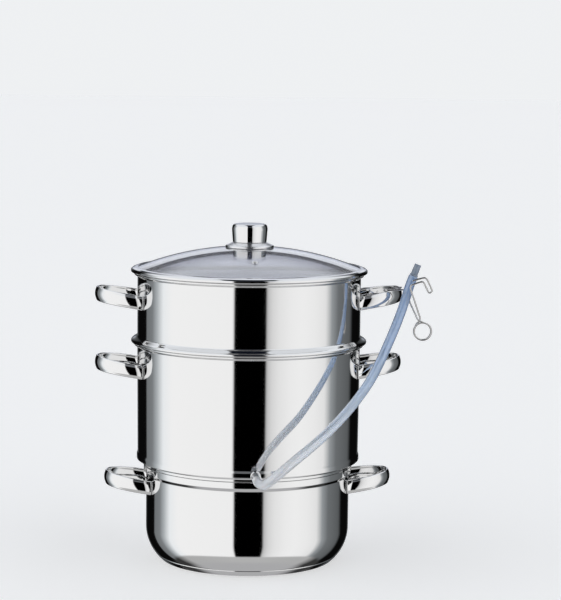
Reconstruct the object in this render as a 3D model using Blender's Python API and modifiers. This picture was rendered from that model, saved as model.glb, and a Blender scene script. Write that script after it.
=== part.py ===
"""A three-tier steam juicer: water pan, juice kettle with steam cone and hose, fruit basket with a
pierced strainer, and a glass lid. Metres, +Z up, the origin at the middle of the base, the side
handles along X and the juice spout towards -Y."""

import math

import bmesh
import bpy
from mathutils import Vector

# Shared values
SHEET = 0.0008
FIT = 0.0003
OVERRUN = 0.004
RING_STEPS = 48
SMALL_STEPS = 24
TUBE_STEPS = 16
MERGE = 0.00001

# Capsule base under the water pan
BASE_H = 0.0066
BASE_EDGE = 0.0012

# Water pan, 24 cm
PAN_R = 0.1196
PAN_RIM_OUT = 0.0029
PAN_RIM_Z = 0.1125
PAN_FLARE_H = 0.0085
PAN_CORNER_R = 0.0500
PAN_FOOT_IN = 0.0188
PAN_CORNER_STEPS = 5
ROLL_R = 0.0017

# Juice kettle, 26 cm
VESSEL_R = 0.1306
RIM_OUT = 0.0040
FLARE_H = 0.0078
KETTLE_TAPER = 0.0008
KETTLE_TALL = 0.1440
BULGE_OUT = 0.0010
BULGE_H = 0.0083
BULGE_RISE = 0.0057
BULGE_EDGE = 0.0015
STEP_OUT = 0.0004
STEP_EDGE = 0.0008
NEST_CLEAR = 0.0013
NEST_DEPTH = 0.0088
NEST_CORNER = 0.0030

# Steam cone in the kettle
CONE_HOLE_R = 0.0360
CONE_FLANGE_R = 0.0400
CONE_FOOT_R = 0.0380
CONE_TOP_R = 0.0180
CONE_H = 0.0740
CONE_LIP = 0.0025

# Juice spout on the kettle
SPOUT_RISE = 0.0090
SPOUT_R = 0.0048
SPOUT_BORE_R = 0.0037
SPOUT_END = 0.1500
SPOUT_FLANGE_R = 0.0062
SPOUT_FLANGE_T = 0.0012
SPOUT_BARB_R = 0.0054
SPOUT_BARB_L = 0.0040

# Fruit basket, 26 cm
BASKET_TALL = 0.0820
BEAD_OUT = 0.0033
BEAD_H = 0.0082
BEAD_NOSE_H = 0.0020
BEAD_STEPS = 4
LIP_CLEAR = 0.0014
LIP_DEPTH = 0.0088
STRAINER_DEPTH = 0.0650
STRAINER_CORNER = 0.0100
STRAINER_TAPER = 0.0007
HOLE_R = 0.0023
HOLE_SIDES = 6
WALL_HOLES = 24
WALL_ROW_SHARES = (0.30, 0.58)
FLOOR_RING_SHARES = ((0.30, 9), (0.53, 16), (0.76, 23))

# Side handles
HANDLE_ANGLE = 16.6
HANDLE_REACH = 0.0494
HANDLE_H = 0.0163
HANDLE_T = 0.0024
HANDLE_CROWN = 0.0016
HANDLE_RISE = 0.0080
HANDLE_POWER_SHARE = 2.05
HANDLE_RISE_SHARE = 0.85
HANDLE_LEVEL = 0.0012
HANDLE_NECK = 0.0035
HANDLE_BEND_R = 0.0190
HANDLE_BEND_STEPS = 3
HANDLE_STEPS = 14
PAN_HANDLE_DROP = 0.0237
KETTLE_HANDLE_DROP = 0.0315
BASKET_HANDLE_DROP = 0.0331

# Lid
GLASS_BALL_R = 0.3750
GLASS_T = 0.0035
GLASS_IN = 0.0053
GLASS_RISE = 0.005522304
GLASS_STEPS = 5
GLASS_HOLE_R = 0.0042
BAND_OUT = 0.0037
BAND_H = 0.0073
BAND_EDGE = 0.0014
BAND_LIP_IN = 0.0032
BAND_SHOULDER_IN = 0.0021
BAND_SKIRT_CLEAR = 0.0022
BAND_SKIRT_H = 0.0053
BAND_SKIRT_T = 0.0009
VENT_R = 0.0880
VENT_FLANGE_R = 0.0046
VENT_BARREL_R = 0.0030
VENT_BORE_R = 0.0018
VENT_FLANGE_T = 0.0008
VENT_EDGE = 0.0004

# Lid knob
KNOB_RISE = 0.0266
KNOB_R = 0.0209
KNOB_WAIST_R = 0.0196
KNOB_FOOT_R = 0.0203
KNOB_H = 0.0214
KNOB_EDGE = 0.0022
KNOB_BORE_H = 0.0120
SKIRT_R = 0.0283
SKIRT_EDGE_H = 0.0021
SKIRT_T = 0.0012
SKIRT_SLOPE_H = 0.0022
GASKET_R = 0.0115
GASKET_T = 0.0010
SCREW_R = 0.0025
SCREW_HEAD_R = 0.0048
SCREW_HEAD_H = 0.0028
SCREW_CLEAR = 0.0004
WASHER_R = 0.0095
WASHER_T = 0.0010

# Juice hose and its nozzle
HOSE_R = 0.0054
HOSE_POINTS = 34
NOZZLE_R = 0.0040
NOZZLE_BORE_R = 0.0026
NOZZLE_L = 0.0140
NOZZLE_EDGE = 0.0006

# Hose clip, bent from one spring wire
WIRE_R = 0.0010
COIL_R = 0.0100
COIL_PITCH = 0.0027
COIL_START = 60.0
COIL_TURNS = 1.75
COIL_POINTS = 16
COIL_AT = (0.1992, -0.0448, 0.2737)

# Heights and radii that follow from the values above
PAN_RIM_R = PAN_R + PAN_RIM_OUT
PAN_FOOT_R = PAN_R - PAN_FOOT_IN
PAN_FLOOR_Z = BASE_H + FIT
BASE_R = PAN_FOOT_R - FIT
KETTLE_RIM_Z = PAN_RIM_Z + KETTLE_TALL
KETTLE_SEAT_Z = PAN_RIM_Z + FIT
KETTLE_FLOOR_Z = KETTLE_SEAT_Z - NEST_DEPTH
KETTLE_LOW_R = VESSEL_R - KETTLE_TAPER
KETTLE_BORE_R = VESSEL_R - SHEET
RIM_R = VESSEL_R + RIM_OUT
BULGE_R = KETTLE_LOW_R + BULGE_OUT
BULGE_Z = PAN_RIM_Z + BULGE_RISE
STEP_R = PAN_RIM_R + STEP_OUT
NEST_R = PAN_R - SHEET - NEST_CLEAR
SPOUT_Z = PAN_RIM_Z + SPOUT_RISE
BASKET_RIM_Z = KETTLE_RIM_Z + BASKET_TALL
BASKET_SEAT_Z = KETTLE_RIM_Z + FIT
BEAD_R = RIM_R + BEAD_OUT
BEAD_TOP_Z = BASKET_SEAT_Z + BEAD_H
LIP_R = KETTLE_BORE_R - LIP_CLEAR
STRAINER_R = LIP_R - SHEET - FIT
STRAINER_TOP_Z = BASKET_SEAT_Z - SHEET
STRAINER_Z = BASKET_SEAT_Z - STRAINER_DEPTH
STRAINER_LOW_R = STRAINER_R - STRAINER_TAPER
LID_SEAT_Z = BASKET_RIM_Z + FIT
BAND_R = RIM_R + BAND_OUT
BAND_SHOULDER_R = BAND_R - BAND_SHOULDER_IN
BAND_SKIRT_R = RIM_R - 2 * ROLL_R - BAND_SKIRT_CLEAR
GLASS_R = BAND_R - GLASS_IN
GLASS_EDGE_Z = BASKET_RIM_Z + GLASS_RISE
GLASS_BALL_Z = GLASS_EDGE_Z - math.sqrt(GLASS_BALL_R * GLASS_BALL_R - GLASS_R * GLASS_R)
GLASS_TOP_Z = GLASS_BALL_Z + GLASS_BALL_R
BAND_LIP_R = GLASS_R - BAND_LIP_IN
KNOB_Z = GLASS_TOP_Z + KNOB_RISE

# The hose's route, from the spout's tip to the nozzle, chosen by hand
HOSE_ROUTE = (
    (0.0000, -0.1504, 0.1215),
    (0.0000, -0.1575, 0.1215),
    (0.0012, -0.1655, 0.1205),
    (0.0064, -0.1740, 0.1200),
    (0.0143, -0.1784, 0.1262),
    (0.0283, -0.1781, 0.1382),
    (0.0417, -0.1734, 0.1484),
    (0.0607, -0.1638, 0.1619),
    (0.0815, -0.1503, 0.1774),
    (0.1006, -0.1367, 0.1943),
    (0.1165, -0.1223, 0.2100),
    (0.1309, -0.1062, 0.2261),
    (0.1435, -0.0886, 0.2435),
    (0.1555, -0.0721, 0.2638),
    (0.1654, -0.0592, 0.2821),
    (0.1732, -0.0501, 0.2990),
    (0.1789, -0.0448, 0.3141),
    (0.1833, -0.0424, 0.3273),
    (0.1875, -0.0421, 0.3383),
)

# The clip's wire beyond its coil: the rear arm with the hook, and the front arm with its finger loop
REAR_ARM = (
    (0.1965, -0.0448, 0.2858),
    (0.1930, -0.0443, 0.2880),
    (0.1905, -0.0420, 0.2935),
    (0.1875, -0.0382, 0.3005),
    (0.1848, -0.0350, 0.3070),
    (0.1822, -0.0340, 0.3150),
    (0.1806, -0.0340, 0.3184),
    (0.1788, -0.0340, 0.3206),
    (0.1755, -0.0340, 0.3213),
    (0.1600, -0.0340, 0.3205),
    (0.1571, -0.0330, 0.3203),
    (0.1556, -0.0302, 0.3202),
    (0.1556, -0.0272, 0.3202),
    (0.1571, -0.0244, 0.3204),
    (0.1600, -0.0234, 0.3209),
    (0.1770, -0.0234, 0.3231),
)
FRONT_ARM = (
    (0.1907, -0.0401, 0.2790),
    (0.1925, -0.0401, 0.2825),
    (0.1955, -0.0402, 0.2856),
    (0.1963, -0.0405, 0.2892),
    (0.1935, -0.0430, 0.2965),
    (0.1900, -0.0470, 0.3055),
    (0.1865, -0.0502, 0.3145),
    (0.1838, -0.0512, 0.3215),
    (0.1828, -0.0512, 0.3252),
    (0.1835, -0.0512, 0.3280),
    (0.1862, -0.0512, 0.3294),
    (0.1945, -0.0512, 0.3322),
    (0.1975, -0.0512, 0.3322),
    (0.1992, -0.0512, 0.3298),
    (0.2033, -0.0512, 0.3215),
    (0.2052, -0.0512, 0.3198),
    (0.2072, -0.0512, 0.3208),
    (0.2076, -0.0512, 0.3234),
    (0.2032, -0.0512, 0.3328),
    (0.2010, -0.0512, 0.3362),
    (0.1978, -0.0512, 0.3370),
    (0.1850, -0.0512, 0.3336),
)


def clear_scene():
    """Removes what a new file starts with."""
    for old in list(bpy.data.objects):
        bpy.data.objects.remove(old, do_unlink=True)


def collection(name):
    """A new collection in the scene."""
    made = bpy.data.collections.new(name)
    bpy.context.scene.collection.children.link(made)
    return made


def material(name, colour, metallic, roughness, alpha=1.0):
    """A Principled material of one colour."""
    made = bpy.data.materials.new(name)
    made.use_nodes = True
    shader = made.node_tree.nodes["Principled BSDF"]
    shader.inputs["Base Color"].default_value = (*colour, 1.0)
    shader.inputs["Metallic"].default_value = metallic
    shader.inputs["Roughness"].default_value = roughness
    shader.inputs["Alpha"].default_value = alpha
    return made


def as_object(name, data, finish, group):
    """An object for some mesh or curve data, in a collection."""
    made = bpy.data.objects.new(name, data)
    group.objects.link(made)
    if finish:
        data.materials.append(finish)
    if group is guides:
        made.hide_render = True
        made.display_type = "WIRE"
    return made


def turned(name, profile, finish, group, steps=RING_STEPS, closed=True):
    """A turned piece: a profile of (radius, height) points, down its outer side, swept about Z."""
    data = bpy.data.meshes.new(name)
    points = [(radius, 0, height) for radius, height in profile]
    edges = [(index, index + 1) for index in range(len(points) - 1)]
    if closed:
        edges.append((len(points) - 1, 0))
    data.from_pydata(points, edges, [])
    made = as_object(name, data, finish, group)
    screw = made.modifiers.new("turn", "SCREW")
    screw.axis = "Z"
    screw.steps = steps
    screw.render_steps = steps
    screw.use_merge_vertices = True
    screw.merge_threshold = MERGE
    screw.use_smooth_shade = True
    return made


def arc(centre, radius, start, end, steps):
    """Points of an arc in a profile's plane, by angles in degrees counted up from +X."""
    angles = [math.radians(start + (end - start) * index / steps) for index in range(steps + 1)]
    return [(centre[0] + radius * math.cos(a), centre[1] + radius * math.sin(a)) for a in angles]


def rolled_rim(rim_r, top_z):
    """A rolled rim in section, from its inner side over the top and round its outer side."""
    return arc((rim_r - ROLL_R, top_z - ROLL_R), ROLL_R, 180, -60, 5)


def rim_ring(name, rim_r, wall_r, top_z, low_z):
    """A vessel's rim as a ring of its own: the rolled edge and the flare down to the wall."""
    flare = [(wall_r, low_z), (wall_r - SHEET, low_z)]
    turned(name, rolled_rim(rim_r, top_z) + flare, steel, parts)


def inner_line(points, distance):
    """The same line moved inwards by a sheet's thickness, with mitred corners, from its far end back."""
    moved = []
    for index, point in enumerate(points):
        here = Vector(point)
        before = Vector(points[max(index - 1, 0)])
        after = Vector(points[min(index + 1, len(points) - 1)])
        sides = [side.normalized() for side in (here - before, after - here) if side.length > 0]
        normals = [Vector((side.y, -side.x)) for side in sides]
        middle = sum(normals, Vector((0, 0))).normalized()
        moved.append(here + middle * distance / middle.dot(normals[0]))
    return [(max(point.x, 0), point.y) for point in reversed(moved)]


def sheet_ring(name, wall, finish=None):
    """A turned sheet: its outer line down the wall, and the same line moved in by its thickness."""
    return turned(name, wall + inner_line(wall, SHEET), finish or steel, parts)


def floor_disc(name, outer_r, inner_r, low_z, finish=None):
    """A flat floor inside a vessel's corner, open in the middle where it has an inner radius."""
    outer = [(outer_r, low_z + SHEET), (outer_r, low_z)]
    return turned(name, outer + [(inner_r, low_z), (inner_r, low_z + SHEET)], finish or steel, parts)


def cut(target, cutter):
    """Takes a cutter's shape out of a piece."""
    boolean = target.modifiers.new("cut", "BOOLEAN")
    boolean.operation = "DIFFERENCE"
    boolean.solver = "EXACT"
    boolean.object = cutter


def rods(name, radius, sides, places):
    """Cutters in one mesh: a rod centred at each place, (point, direction, length)."""
    data = bpy.data.meshes.new(name)
    shape = bmesh.new()
    for point, direction, length in places:
        turn = Vector(direction).to_track_quat("Z", "Y").to_matrix().to_4x4()
        turn.translation = Vector(point)
        bmesh.ops.create_cone(
            shape, cap_ends=True, segments=sides, radius1=radius, radius2=radius, depth=length, matrix=turn
        )
    shape.to_mesh(data)
    shape.free()
    return as_object(name, data, None, guides)


def smooth_route(points, count):
    """Evenly spaced points on a smooth curve through some chosen ones (Catmull-Rom)."""
    fine = []
    knots = [Vector(point) for point in points]
    knots.insert(0, knots[0] * 2 - knots[1])
    knots.append(knots[-1] * 2 - knots[-2])
    for a, b, c, d in zip(knots, knots[1:], knots[2:], knots[3:]):
        for index in range(12):
            t = index / 12
            bend = (2 * a - 5 * b + 4 * c - d) * t * t + (3 * b - a - 3 * c + d) * t**3
            fine.append((2 * b + (c - a) * t + bend) / 2)
    fine.append(knots[-2])
    along = [0]
    for before, after in zip(fine, fine[1:]):
        along.append(along[-1] + (after - before).length)
    even = []
    at = 0
    for index in range(count):
        target = along[-1] * index / (count - 1)
        while at < len(along) - 2 and along[at + 1] < target:
            at += 1
        share = (target - along[at]) / (along[at + 1] - along[at])
        even.append(fine[at].lerp(fine[at + 1], min(share, 1)))
    return even, along[-1]


def tube(name, points, radius, sides_level, finish, group):
    """A round tube or wire along points: a poly curve with a bevel and filled caps."""
    data = bpy.data.curves.new(name, "CURVE")
    data.dimensions = "3D"
    spline = data.splines.new("POLY")
    spline.points.add(len(points) - 1)
    for place, point in zip(spline.points, points):
        place.co = (*point, 1)
    data.bevel_depth = radius
    data.bevel_resolution = sides_level
    data.use_fill_caps = True
    return as_object(name, data, finish, group)


def least_gap(points, radius):
    """The least gap between a wire's turns, between points over three diameters apart along it."""
    least = math.inf
    for first, a in enumerate(points):
        run = 0
        for before, after in zip(points[first:], points[first + 1 :]):
            run += (after - before).length
            if run > 6 * radius:
                least = min(least, (after - a).length)
    return least - 2 * radius


def build_base():
    """The capsule base: a pressed steel cap with an aluminium disc inside, under the pan's floor."""
    outer = [(BASE_R, BASE_H), (BASE_R, BASE_EDGE), (BASE_R - BASE_EDGE, 0), (0, 0)]
    inner = [(0, SHEET), (BASE_R - BASE_EDGE, SHEET), (BASE_R - SHEET, BASE_EDGE), (BASE_R - SHEET, BASE_H)]
    turned("pan_base_cap", outer + inner, steel, parts, closed=True)
    disc_r = BASE_R - BASE_EDGE - FIT
    disc = [(0, BASE_H), (disc_r, BASE_H), (disc_r, SHEET + FIT), (0, SHEET + FIT)]
    turned("pan_base_disc", disc, aluminium, parts, closed=False)


def build_pan():
    """The water pan: a drawn steel pot with a rolled rim and a wide sloping corner above its base."""
    sweep = math.acos(1 - PAN_FOOT_IN / PAN_CORNER_R)
    corner_z = PAN_FLOOR_Z + PAN_CORNER_R * math.sin(sweep)
    centre = (PAN_R - PAN_CORNER_R, corner_z)
    flare_z = PAN_RIM_Z - PAN_FLARE_H
    rim = rolled_rim(PAN_RIM_R, PAN_RIM_Z)
    wall = [(PAN_R, flare_z), (PAN_R, corner_z + FIT), (PAN_R - SHEET, corner_z + FIT), (PAN_R - SHEET, flare_z)]
    turned("pan_body", rim + wall, steel, parts)
    corner = arc(centre, PAN_CORNER_R, 0, -math.degrees(sweep), PAN_CORNER_STEPS)
    sheet_ring("pan_corner", corner)
    floor_disc("pan_floor", PAN_FOOT_R - SHEET - FIT, 0, PAN_FLOOR_Z)


def build_kettle():
    """The juice kettle: a drawn steel pot whose stepped foot nests in the pan, open in the middle."""
    flare_z = KETTLE_RIM_Z - FLARE_H
    rim_ring("kettle_rim", RIM_R, VESSEL_R, KETTLE_RIM_Z, flare_z)
    wall = [
        (VESSEL_R, flare_z - FIT),
        (KETTLE_LOW_R, BULGE_Z + BULGE_H),
        (BULGE_R, BULGE_Z + BULGE_H - 2 * BULGE_EDGE),
        (BULGE_R, BULGE_Z + BULGE_EDGE),
        (BULGE_R - BULGE_EDGE, BULGE_Z),
    ]
    kettle = sheet_ring("kettle_body", wall)
    hole_at = (0, -KETTLE_LOW_R, SPOUT_Z)
    cut(kettle, rods("spout_hole", SPOUT_BORE_R, TUBE_STEPS, [(hole_at, (0, -1, 0), 2 * OVERRUN)]))
    nest = [
        (BULGE_R - BULGE_EDGE - SHEET - FIT, BULGE_Z - FIT),
        (STEP_R + STEP_EDGE, BULGE_Z - BULGE_EDGE),
        (STEP_R, BULGE_Z - 2 * BULGE_EDGE),
        (STEP_R, KETTLE_SEAT_Z + STEP_EDGE),
        (STEP_R - STEP_EDGE, KETTLE_SEAT_Z),
        (NEST_R + STEP_EDGE, KETTLE_SEAT_Z),
        (NEST_R, KETTLE_SEAT_Z - STEP_EDGE),
        (NEST_R, KETTLE_FLOOR_Z + NEST_CORNER),
        (NEST_R - NEST_CORNER, KETTLE_FLOOR_Z),
    ]
    sheet_ring("kettle_nest", nest)
    floor_disc("kettle_floor", NEST_R - NEST_CORNER - SHEET - FIT, CONE_HOLE_R, KETTLE_FLOOR_Z)


def build_cone():
    """The steam cone: a flanged funnel on the kettle's floor that leads steam up past the juice."""
    foot_z = KETTLE_FLOOR_Z + SHEET + FIT
    outer = [
        (CONE_TOP_R + SHEET, foot_z + CONE_H),
        (CONE_TOP_R + SHEET, foot_z + CONE_H - CONE_LIP),
        (CONE_FOOT_R, foot_z + SHEET),
        (CONE_FLANGE_R, foot_z + SHEET),
        (CONE_FLANGE_R, foot_z),
        (CONE_FOOT_R - SHEET, foot_z),
        (CONE_TOP_R, foot_z + CONE_H - CONE_LIP),
        (CONE_TOP_R, foot_z + CONE_H),
    ]
    turned("steam_cone", outer, steel, parts, steps=TUBE_STEPS * 2)


def build_spout():
    """The juice spout: a short steel tube with a welded collar and a barb that holds the hose."""
    start = BULGE_R + FIT
    length = SPOUT_END - start
    tip = length - SPOUT_BARB_L
    profile = [
        (SPOUT_BORE_R, length),
        (SPOUT_R, length),
        (SPOUT_BARB_R, tip),
        (SPOUT_R, tip),
        (SPOUT_R, SPOUT_FLANGE_T),
        (SPOUT_FLANGE_R, SPOUT_FLANGE_T),
        (SPOUT_FLANGE_R, 0),
        (SPOUT_BORE_R, 0),
    ]
    spout = turned("juice_spout", profile, steel, parts, steps=TUBE_STEPS)
    spout.location = (0, -start, SPOUT_Z)
    spout.rotation_euler = (math.radians(90), 0, 0)


def build_basket():
    """The fruit basket: a steel wall whose bead sits on the kettle's rim, and its pierced strainer."""
    flare_z = BASKET_RIM_Z - FLARE_H
    rim_ring("basket_rim", RIM_R, VESSEL_R, BASKET_RIM_Z, flare_z)
    sheet_ring("basket_body", [(VESSEL_R, flare_z - FIT), (VESSEL_R, BEAD_TOP_Z + FIT)])
    nose_z = BASKET_SEAT_Z + BEAD_NOSE_H
    bead = []
    for index in range(BEAD_STEPS + 1):
        share = index / BEAD_STEPS
        out = (1 - math.cos(math.pi * share)) / 2
        bead.append((VESSEL_R + (BEAD_R - VESSEL_R) * out, BEAD_TOP_Z + (nose_z - BEAD_TOP_Z) * share))
    bead += [
        (BEAD_R - SHEET, BASKET_SEAT_Z),
        (LIP_R + SHEET, BASKET_SEAT_Z),
        (LIP_R, BASKET_SEAT_Z - SHEET),
        (LIP_R, BASKET_SEAT_Z - LIP_DEPTH),
        (LIP_R - SHEET, BASKET_SEAT_Z - LIP_DEPTH),
        (LIP_R - SHEET, BASKET_SEAT_Z + SHEET),
        (KETTLE_BORE_R, BASKET_SEAT_Z + 2 * SHEET),
        (KETTLE_BORE_R, BEAD_TOP_Z),
    ]
    turned("basket_bead", bead, steel, parts)
    build_strainer()


def build_strainer():
    """The strainer: the basket's lower wall and floor, pierced, with a blank middle above the cone."""
    corner_z = STRAINER_Z + STRAINER_CORNER
    corner_r = STRAINER_LOW_R - STRAINER_CORNER
    wall = sheet_ring("basket_strainer", [(STRAINER_R, STRAINER_TOP_Z), (STRAINER_LOW_R, corner_z + FIT)], satin_steel)
    sheet_ring("strainer_corner", arc((corner_r, corner_z), STRAINER_CORNER, 0, -90, 3), satin_steel)
    floor = floor_disc("strainer_floor", corner_r - FIT, 0, STRAINER_Z, satin_steel)
    depth = STRAINER_TOP_Z - STRAINER_Z
    wall_places = []
    for row, share in enumerate(WALL_ROW_SHARES):
        for index in range(WALL_HOLES):
            turn = math.tau * (index + row / 2 + 0.5) / WALL_HOLES
            out = Vector((math.cos(turn), math.sin(turn), 0))
            height = Vector((0, 0, STRAINER_TOP_Z - depth * share))
            wall_places.append((out * STRAINER_LOW_R + height, out, 2 * OVERRUN))
    cut(wall, rods("wall_holes", HOLE_R, HOLE_SIDES, wall_places))
    floor_places = []
    for share, count in FLOOR_RING_SHARES:
        for index in range(count):
            turn = math.tau * index / count
            ring_r = share * STRAINER_LOW_R
            at = (ring_r * math.cos(turn), ring_r * math.sin(turn), STRAINER_Z)
            floor_places.append((at, (0, 0, 1), 2 * OVERRUN))
    cut(floor, rods("floor_holes", HOLE_R, HOLE_SIDES, floor_places))


def handle_section():
    """The handle strap's section: a thin strap a little crowned outwards (-X of the section)."""
    data = bpy.data.curves.new("handle_section", "CURVE")
    data.dimensions = "2D"
    half = HANDLE_H / 2
    points = []
    for sign, ups in ((-1, (0.88, 0.45, 0, -0.45, -0.88)), (0, (-1,)), (1, (-0.88, 0, 0.88)), (0, (1,))):
        for up in ups:
            points.append((sign * HANDLE_T / 2 - HANDLE_CROWN * (1 - up * up), half * up))
    spline = data.splines.new("POLY")
    spline.points.add(len(points) - 1)
    for place, (across, height) in zip(spline.points, reversed(points)):
        place.co = (across, height, 0, 1)
    spline.use_cyclic_u = True
    return as_object("handle_section", data, None, guides)


def handle_path(wall_r, foot_z, side):
    """A handle strap's centre line: square to the wall, bent round, then half a superellipse in plan."""
    angle = math.radians(HANDLE_ANGLE)
    out = Vector((math.cos(angle), math.sin(angle)))
    start = out * (wall_r + 2 * FIT)
    bend_start = start + out * HANDLE_NECK
    centre = bend_start + Vector((out.y, -out.x)) * HANDLE_BEND_R
    half = [start, start + out * HANDLE_LEVEL, bend_start]
    for index in range(1, HANDLE_BEND_STEPS + 1):
        turn = angle * (1 - index / HANDLE_BEND_STEPS)
        half.append(centre + Vector((-math.sin(turn), math.cos(turn))) * HANDLE_BEND_R)
    wide = half[-1]
    reach = wall_r + HANDLE_REACH - HANDLE_CROWN - HANDLE_T / 2 - wide.x
    plan = list(half)
    for index in range(1, HANDLE_STEPS):
        turn = math.pi * (0.5 - index / HANDLE_STEPS)
        across = abs(math.cos(turn)) ** (2 / HANDLE_POWER_SHARE)
        along = math.copysign(abs(math.sin(turn)) ** (2 / HANDLE_POWER_SHARE), math.sin(turn))
        plan.append(Vector((wide.x + reach * across, wide.y * along)))
    plan += [Vector((point.x, -point.y)) for point in reversed(half)]
    level = half[1]
    points = []
    for x, y in plan:
        share = max((x - level.x) / (wide.x + reach - level.x), 0)
        points.append(Vector((side * x, side * y, foot_z + HANDLE_RISE * share**HANDLE_RISE_SHARE)))
    return points


def build_handle(name, wall_r, foot_z, side, section):
    """One side handle: a crowned steel strap bent to a D, its two ends square to the wall."""
    points = handle_path(wall_r, foot_z, side)
    data = bpy.data.curves.new(name, "CURVE")
    data.dimensions = "3D"
    data.twist_mode = "Z_UP"
    data.bevel_mode = "OBJECT"
    data.bevel_object = section
    data.use_fill_caps = True
    spline = data.splines.new("POLY")
    spline.points.add(len(points) - 1)
    for place, point in zip(spline.points, points):
        place.co = (*point, 1)
    as_object(name, data, steel, parts)


def build_handles():
    """The three pairs of side handles."""
    section = handle_section()
    tiers = (
        ("pan", PAN_R, PAN_RIM_Z - PAN_HANDLE_DROP),
        ("kettle", VESSEL_R, KETTLE_RIM_Z - KETTLE_HANDLE_DROP),
        ("basket", VESSEL_R, BASKET_RIM_Z - BASKET_HANDLE_DROP),
    )
    for tier, wall_r, foot_z in tiers:
        build_handle(tier + "_handle_left", wall_r, foot_z, -1, section)
        build_handle(tier + "_handle_right", wall_r, foot_z, 1, section)


def glass_z(radius, ball_r):
    """The height of a glass face at some radius."""
    return GLASS_BALL_Z + math.sqrt(ball_r * ball_r - radius * radius)


def build_lid():
    """The lid: a tempered glass dome in a steel band whose skirt drops inside the basket's rim."""
    low_ball = GLASS_BALL_R - GLASS_T
    radii = [GLASS_HOLE_R + (GLASS_R - GLASS_HOLE_R) * index / GLASS_STEPS for index in range(GLASS_STEPS + 1)]
    profile = [(radius, glass_z(radius, GLASS_BALL_R)) for radius in radii]
    profile += [(radius, glass_z(radius, low_ball)) for radius in reversed(radii)]
    lid = turned("lid_glass", profile, glass, parts)
    root_r = GLASS_R + FIT
    band_top = LID_SEAT_Z + BAND_H
    lip_in = BAND_SKIRT_R - BAND_SKIRT_T
    band = [
        (BAND_LIP_R, glass_z(BAND_LIP_R, GLASS_BALL_R) + 2 * FIT),
        (root_r, band_top),
        (BAND_SHOULDER_R, band_top - BAND_EDGE),
        (BAND_R, band_top - 2 * BAND_EDGE - FIT),
        (BAND_R, LID_SEAT_Z + BAND_EDGE),
        (BAND_R - BAND_EDGE, LID_SEAT_Z),
        (BAND_SKIRT_R + BAND_SKIRT_T, LID_SEAT_Z),
        (BAND_SKIRT_R, LID_SEAT_Z - BAND_SKIRT_T),
        (BAND_SKIRT_R, LID_SEAT_Z - BAND_SKIRT_H),
        (lip_in, LID_SEAT_Z - BAND_SKIRT_H),
        (lip_in, glass_z(lip_in, low_ball) - FIT),
        (root_r, glass_z(root_r, low_ball) - FIT),
        (root_r, glass_z(root_r, GLASS_BALL_R) + FIT),
        (BAND_LIP_R, glass_z(BAND_LIP_R, GLASS_BALL_R) + FIT),
    ]
    turned("lid_rim_band", band, steel, parts)
    build_vent(lid)


def build_vent(lid):
    """The steam vent: a steel eyelet riveted through the glass, its flanges above and below."""
    tilt = math.asin(VENT_R / GLASS_BALL_R)
    normal = Vector((0, -math.sin(tilt), math.cos(tilt)))
    ball_centre = Vector((0, 0, GLASS_BALL_Z))
    top = FIT + VENT_FLANGE_T
    low = -GLASS_T - FIT
    profile = [
        (VENT_BORE_R, top),
        (VENT_FLANGE_R - VENT_EDGE, top),
        (VENT_FLANGE_R, FIT),
        (VENT_BARREL_R, FIT),
        (VENT_BARREL_R, low),
        (VENT_FLANGE_R - VENT_EDGE, low),
        (VENT_FLANGE_R - VENT_EDGE, low - VENT_FLANGE_T),
        (VENT_BORE_R, low - VENT_FLANGE_T),
    ]
    vent = turned("steam_vent_eyelet", profile, steel, parts, steps=TUBE_STEPS)
    vent.location = ball_centre + normal * GLASS_BALL_R
    vent.rotation_euler = (tilt, 0, 0)
    place = ball_centre + normal * (GLASS_BALL_R - GLASS_T / 2)
    cut(lid, rods("vent_hole", VENT_BARREL_R + FIT, TUBE_STEPS, [(place, normal, 2 * OVERRUN)]))


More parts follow.
